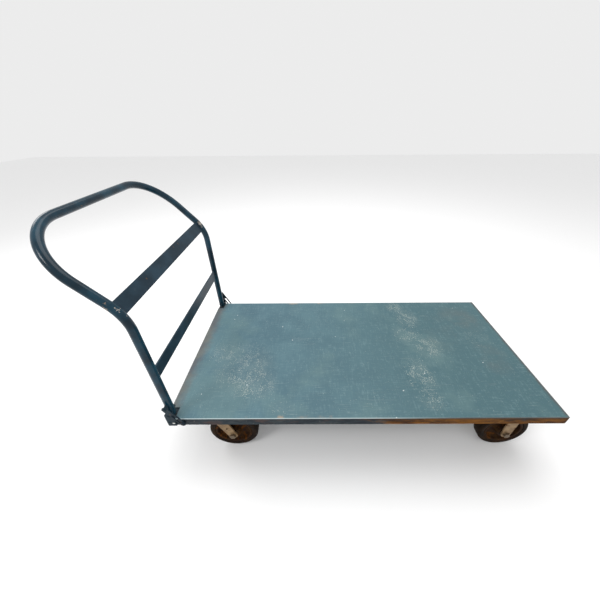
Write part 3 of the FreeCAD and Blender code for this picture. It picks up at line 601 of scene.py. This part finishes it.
# %% The handle tube itself
TUBE_RADIUS = 0.01268
TUBE_SIDES = 72
RING_SPACING = 0.004
LEG_X = DECK_START + 0.0142
LEG_Y = HALF_WIDTH - 0.020
KINK_Z = DECK_TOP + 0.426
KINK_BEND = 0.136
CORNER_BEND = 0.155
TOP_X = tube_low.x + TUBE_RADIUS
TOP_Z = DECK_TOP + 0.644
LEAN = math.atan2(LEG_X - TOP_X, TOP_Z - KINK_Z)
foot_z = tube_low.z
corners = [(LEG_X, -LEG_Y, foot_z), (LEG_X, -LEG_Y, KINK_Z), (TOP_X, -LEG_Y, TOP_Z),
           (TOP_X, LEG_Y, TOP_Z), (LEG_X, LEG_Y, KINK_Z), (LEG_X, LEG_Y, foot_z)]
loop_normal = (math.cos(LEAN), 0, math.sin(LEAN))
tube_path = bent_path(corners, [KINK_BEND, CORNER_BEND, CORNER_BEND, KINK_BEND], RING_SPACING)
rings = swept(tube_path, TUBE_RADIUS, TUBE_SIDES, loop_normal)
closing = np.zeros((1, TUBE_SIDES, 1))
rings = np.concatenate([tube_path[:1, None] + closing, rings, tube_path[-1:, None] + closing])
tube = new_piece("bent_tube", rings, "handle", "handle_paint")
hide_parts("handle_tube")
print("tube path has", len(tube_path), "rings, leaning", round(math.degrees(LEAN), 1), "degrees")

# %% [markdown]
# ## Soft edges
#
# Rolled and sheared steel has no razor edges: each one is a little round and catches a thin line
# of light. The CAD parts are exact but sharp, so a Bevel modifier rounds only their sharp edges
# and leaves every face where it is.

# %% Round the sharp edges of the plates and bars
SOFT_EDGES = {"deck_sheet": 0.0009, "rail": 0.0008, "cross_bar": 0.0012, "channel": 0.0008,
              "stiffener": 0.0008, "foot_bracket": 0.0007, "stay": 0.0006, "fork": 0.0009,
              "swivel_plate": 0.0008}
SHARP_EDGE = math.radians(35)


def soften(node, width):
    """Bevel of the given width on edges that turn by more than SHARP_EDGE, two segments."""
    bevel = node.modifiers.new("soft_edges", "BEVEL")
    bevel.width = width
    bevel.segments = 2
    bevel.limit_method = "ANGLE"
    bevel.angle_limit = SHARP_EDGE


softened = [(node, width) for name, node in nodes.items()
            for ending, width in SOFT_EDGES.items() if name.endswith(ending)]
for node, width in softened:
    soften(node, width)
print("softened", len(softened), "nodes")

# %% [markdown]
# ## Weld beads
#
# The cross bars are welded to the tube and the rails to each other. A bead is a row of frozen
# ripples that starts and ends thin: a tube swept along the seam, whose radius swells in the
# middle and ripples along the way. About half of it lies inside the metal, as on a real one.

# %% Beads along the seams
BEAD_STEP = 0.0006
RIPPLE_LENGTH = 0.0028
WANDER_LENGTH, WANDER_SIZE = 0.004, 0.0002


def bead(name, start, end, size, body, slot_name):
    """Radius = size * taper * (1 + small ripple), taper = fourth root of sin over the length."""
    start, end = np.array(start, float), np.array(end, float)
    length = np.linalg.norm(end - start)
    count = max(24, int(length / BEAD_STEP))
    t = np.linspace(0, 1, count)
    path = start + t[:, None] * (end - start)
    wander = np.sin(t * length / WANDER_LENGTH + 1.7) * WANDER_SIZE
    path = path + wander[:, None] * np.array([0.6, 0.2, 0.7])
    taper = np.clip(np.sin(math.pi * t), 0, 1) ** 0.25
    ripple = 1 + 0.10 * np.cos(2 * math.pi * t * length / RIPPLE_LENGTH)
    reference = (0.3, 1, 0.2) if abs(end - start)[1] < 0.5 * length else (1, 0.2, 0.3)
    rings = swept(path, size * taper * ripple, 12, reference)
    return new_piece(name, rings, body, slot_name, sharp_angle=70)


# %% Beads on the bars and at the frame's corners
BAR_HALF = 0.0225
BAR_FACE = 0.0025
BAR_END_Y = 0.3106
BAR_BEAD, CORNER_BEAD = 0.0026, 0.0012
UPPER_TILT = math.radians(30)
BAR_SEATS = {
    "upper": (LEG_X - 0.0199, UPPER_BAR_Z, -math.sin(UPPER_TILT), math.cos(UPPER_TILT)),
    "lower": (LEG_X, LOWER_BAR_Z, 0.0, 1.0),
}
bead_count = 0
for bar, (bar_x, bar_z, along_x, along_z) in BAR_SEATS.items():
    for side_name, side in SIDES.items():
        for face_name, face in (("front", 1), ("back", -1)):
            off_face = face * BAR_FACE * np.array([along_z, 0, -along_x])
            middle = np.array([bar_x, side * BAR_END_Y, bar_z]) + off_face
            reach = np.array([along_x, 0, along_z]) * BAR_HALF
            name = f"{side_name}_{bar}_bar_weld_{face_name}"
            bead(name, middle - reach, middle + reach, BAR_BEAD, "handle", "handle_paint")
            bead_count += 1
rail_low, rail_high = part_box("left_rail")
for corner_x in (DECK_START, DECK_END):
    for side_name, side in SIDES.items():
        end_name = "handle_end" if corner_x == DECK_START else "open_end"
        bead_x = corner_x + (0.0006 if corner_x == DECK_START else -0.0016)
        bead_y = side * (HALF_WIDTH - 0.0002)
        low_point = (bead_x, bead_y, rail_low.z + 0.002)
        high_point = (bead_x, bead_y, rail_high.z - 0.002)
        name = f"{side_name}_{end_name}_corner_weld"
        bead(name, low_point, high_point, CORNER_BEAD, "base", "frame_paint")
        bead_count += 1
print("laid", bead_count, "weld beads")

# %% [markdown]
# ## Wheels
#
# Both wheel pieces are turned shapes: a profile of radius and width carried round the axle. The
# tread's shoulders are worn round, and the cast centre has a fillet wherever two faces meet, as
# sand castings do.

# %% Turned shapes
def soft_profile(points, rounding, steps=4):
    """Each corner becomes a curve: (1-t)^2 * first + 2t(1-t) * corner + t^2 * last."""
    points = np.array(points, float)
    before = np.roll(points, 1, axis=0)
    after = np.roll(points, -1, axis=0)
    back = before - points
    ahead = after - points
    back_length = np.linalg.norm(back, axis=1, keepdims=True)
    ahead_length = np.linalg.norm(ahead, axis=1, keepdims=True)
    reach = np.minimum(rounding, np.minimum(back_length, ahead_length) * 0.45)
    first = points + back / back_length * reach
    last = points + ahead / ahead_length * reach
    t = np.linspace(0, 1, steps)[None, :, None]
    curve = (1 - t) ** 2 * first[:, None] + 2 * t * (1 - t) * points[:, None] + t ** 2 * last[:, None]
    return curve.reshape(-1, 2)


def turned(profile, centre, around):
    """x = radius * cos a, z = radius * sin a and y = width, from the centre, for each angle a."""
    angle = np.linspace(0, 2 * math.pi, around, endpoint=False)[:, None]
    radius = profile[None, :, 0]
    x = centre.x + radius * np.cos(angle)
    z = centre.z + radius * np.sin(angle)
    y = np.broadcast_to(centre.y + profile[None, :, 1], x.shape)
    return np.stack([x, y, z], axis=-1)


def turned_piece(name, profile, centre, around, body, slot_name):
    """Closed ring: the profile closes on itself and so do the turns."""
    points = turned(profile, centre, around)
    points = np.concatenate([points, points[:1]])
    return new_piece(name, points, body, slot_name)


# %% Tyres and cast wheel centres
WHEEL_FILLET = 0.003
WHEEL_STEPS = 96


def mirrored(profile):
    """The same (radius, width) outline on the wheel's other side, walked backwards."""
    return [(radius, -width) for radius, width in reversed(profile)]


def wheel_pieces(name, body):
    """Worn tyre and cast centre for the wheel nodes of this name; returns the wheel's middle."""
    low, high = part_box(name + "_tyre")
    centre = (low + high) / 2
    radius, half = (high.x - low.x) / 2, (high.y - low.y) / 2
    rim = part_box(name + "_wheel_centre")[1].x - centre.x
    shoulder = [(radius, half - 0.012), (radius - 0.001, half - 0.006), (radius - 0.007, half),
                (rim + 0.007, half), (rim, half - 0.002)]
    tread = soft_profile(mirrored(shoulder) + shoulder, WHEEL_FILLET)
    tyre = turned_piece(name + "_worn_tyre", tread, centre, WHEEL_STEPS, body, "tread")
    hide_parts(name + "_tyre")
    hub_half = (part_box(name + "_wheel_centre")[1].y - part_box(name + "_wheel_centre")[0].y) / 2
    rim_half, web = half - 0.002, 0.006
    face = [(0.0142, hub_half), (0.026, hub_half), (0.029, web + 0.006), (0.036, web),
            (rim - 0.016, web), (rim - 0.011, web + 0.005), (rim - 0.009, rim_half), (rim, rim_half)]
    casting = soft_profile(face + mirrored(face), WHEEL_FILLET)
    hub = turned_piece(name + "_cast_wheel", casting, centre, WHEEL_STEPS, body, "wheel_iron")
    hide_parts(name + "_wheel_centre")
    return centre


for side_name in SIDES:
    for kind in ("rigid", "swivel"):
        name = f"{side_name}_{kind}"
        wheel_centre = wheel_pieces(name, name + "_wheel")
        print(name, "wheel at", [round(c, 3) for c in wheel_centre])

# %% [markdown]
# ## Camera, light and floor
#
# The cart is seen from above and beside it with a wide lens, close enough for the near side to
# loom. Light is soft: a bright studio, one large panel over the deck, and two smaller ones beside
# and behind the handle that draw the shine along the tube.

# %% Camera
PITCH, YAW, ROLL = 0.59883, -0.00393, 0.00726
SENSOR_WIDTH, LENS, SHIFT = 36, 16.50, -0.0171
EYE = (DECK_START + 0.4952, -HALF_WIDTH - 0.5461, DECK_TOP + 0.8608)
forward = Vector((math.sin(YAW) * math.cos(PITCH), math.cos(YAW) * math.cos(PITCH), -math.sin(PITCH)))
level = Vector((math.cos(YAW), -math.sin(YAW), 0))
down = forward.cross(level)
right = level * math.cos(ROLL) + down * math.sin(ROLL)
up = level * math.sin(ROLL) - down * math.cos(ROLL)
camera_data = bpy.data.cameras.new("camera")
camera_data.sensor_width = SENSOR_WIDTH
camera_data.lens = LENS
camera_data.shift_x = SHIFT
camera = bpy.data.objects.new("camera", camera_data)
bpy.context.scene.collection.objects.link(camera)
turn = Matrix((right, up, -forward)).transposed().to_4x4()
camera.matrix_world = Matrix.Translation(EYE) @ turn
bpy.context.scene.camera = camera
print("camera at", [round(c, 3) for c in camera.location])


# %% Lights
def panel(name, place, target, size, power):
    """Square soft light that faces a target."""
    data = bpy.data.lights.new(name, "AREA")
    data.size = size
    data.energy = power
    light = bpy.data.objects.new(name, data)
    light.location = place
    light.rotation_euler = (Vector(target) - Vector(place)).to_track_quat("-Z", "Y").to_euler()
    bpy.context.scene.collection.objects.link(light)


STUDIO_STRENGTH = 0.84
PANELS = {
    "over_deck": ((0.4, 0.9, 3.4), (0, 0.1, 0.3), 2.6, 55),
    "beside_handle": ((-2.0, -1.6, 2.6), (-0.6, -0.1, 0.6), 0.8, 25),
    "behind_handle": ((-2.6, 1.2, 2.2), (-0.5, 0, 0.6), 1.1, 12),
}
world = bpy.data.worlds.new("studio")
world.use_nodes = True
world.node_tree.nodes["Background"].inputs["Color"].default_value = (1, 1, 1, 1)
world.node_tree.nodes["Background"].inputs["Strength"].default_value = STUDIO_STRENGTH
bpy.context.scene.world = world
for panel_name, (place, target, size, power) in PANELS.items():
    panel(panel_name, place, target, size, power)
bpy.context.scene.view_settings.view_transform = "Standard"
print("lit by", len(PANELS), "panels and a studio of strength", STUDIO_STRENGTH)

# %% Floor
FLOOR_REACH = 9
FLOOR_TONE = 0.93
ground = FLOOR_REACH * np.array([[(-1, -1, 0), (1, -1, 0)], [(-1, 1, 0), (1, 1, 0)]], float)
floor = grid_piece("floor", ground, wrap=False)
floor_paint = Paint("floor_paint")
floor.data.materials.append(floor_paint.finish((FLOOR_TONE, FLOOR_TONE, FLOOR_TONE, 1.0), 0.8))
print("floor reaches", FLOOR_REACH, "m each way")
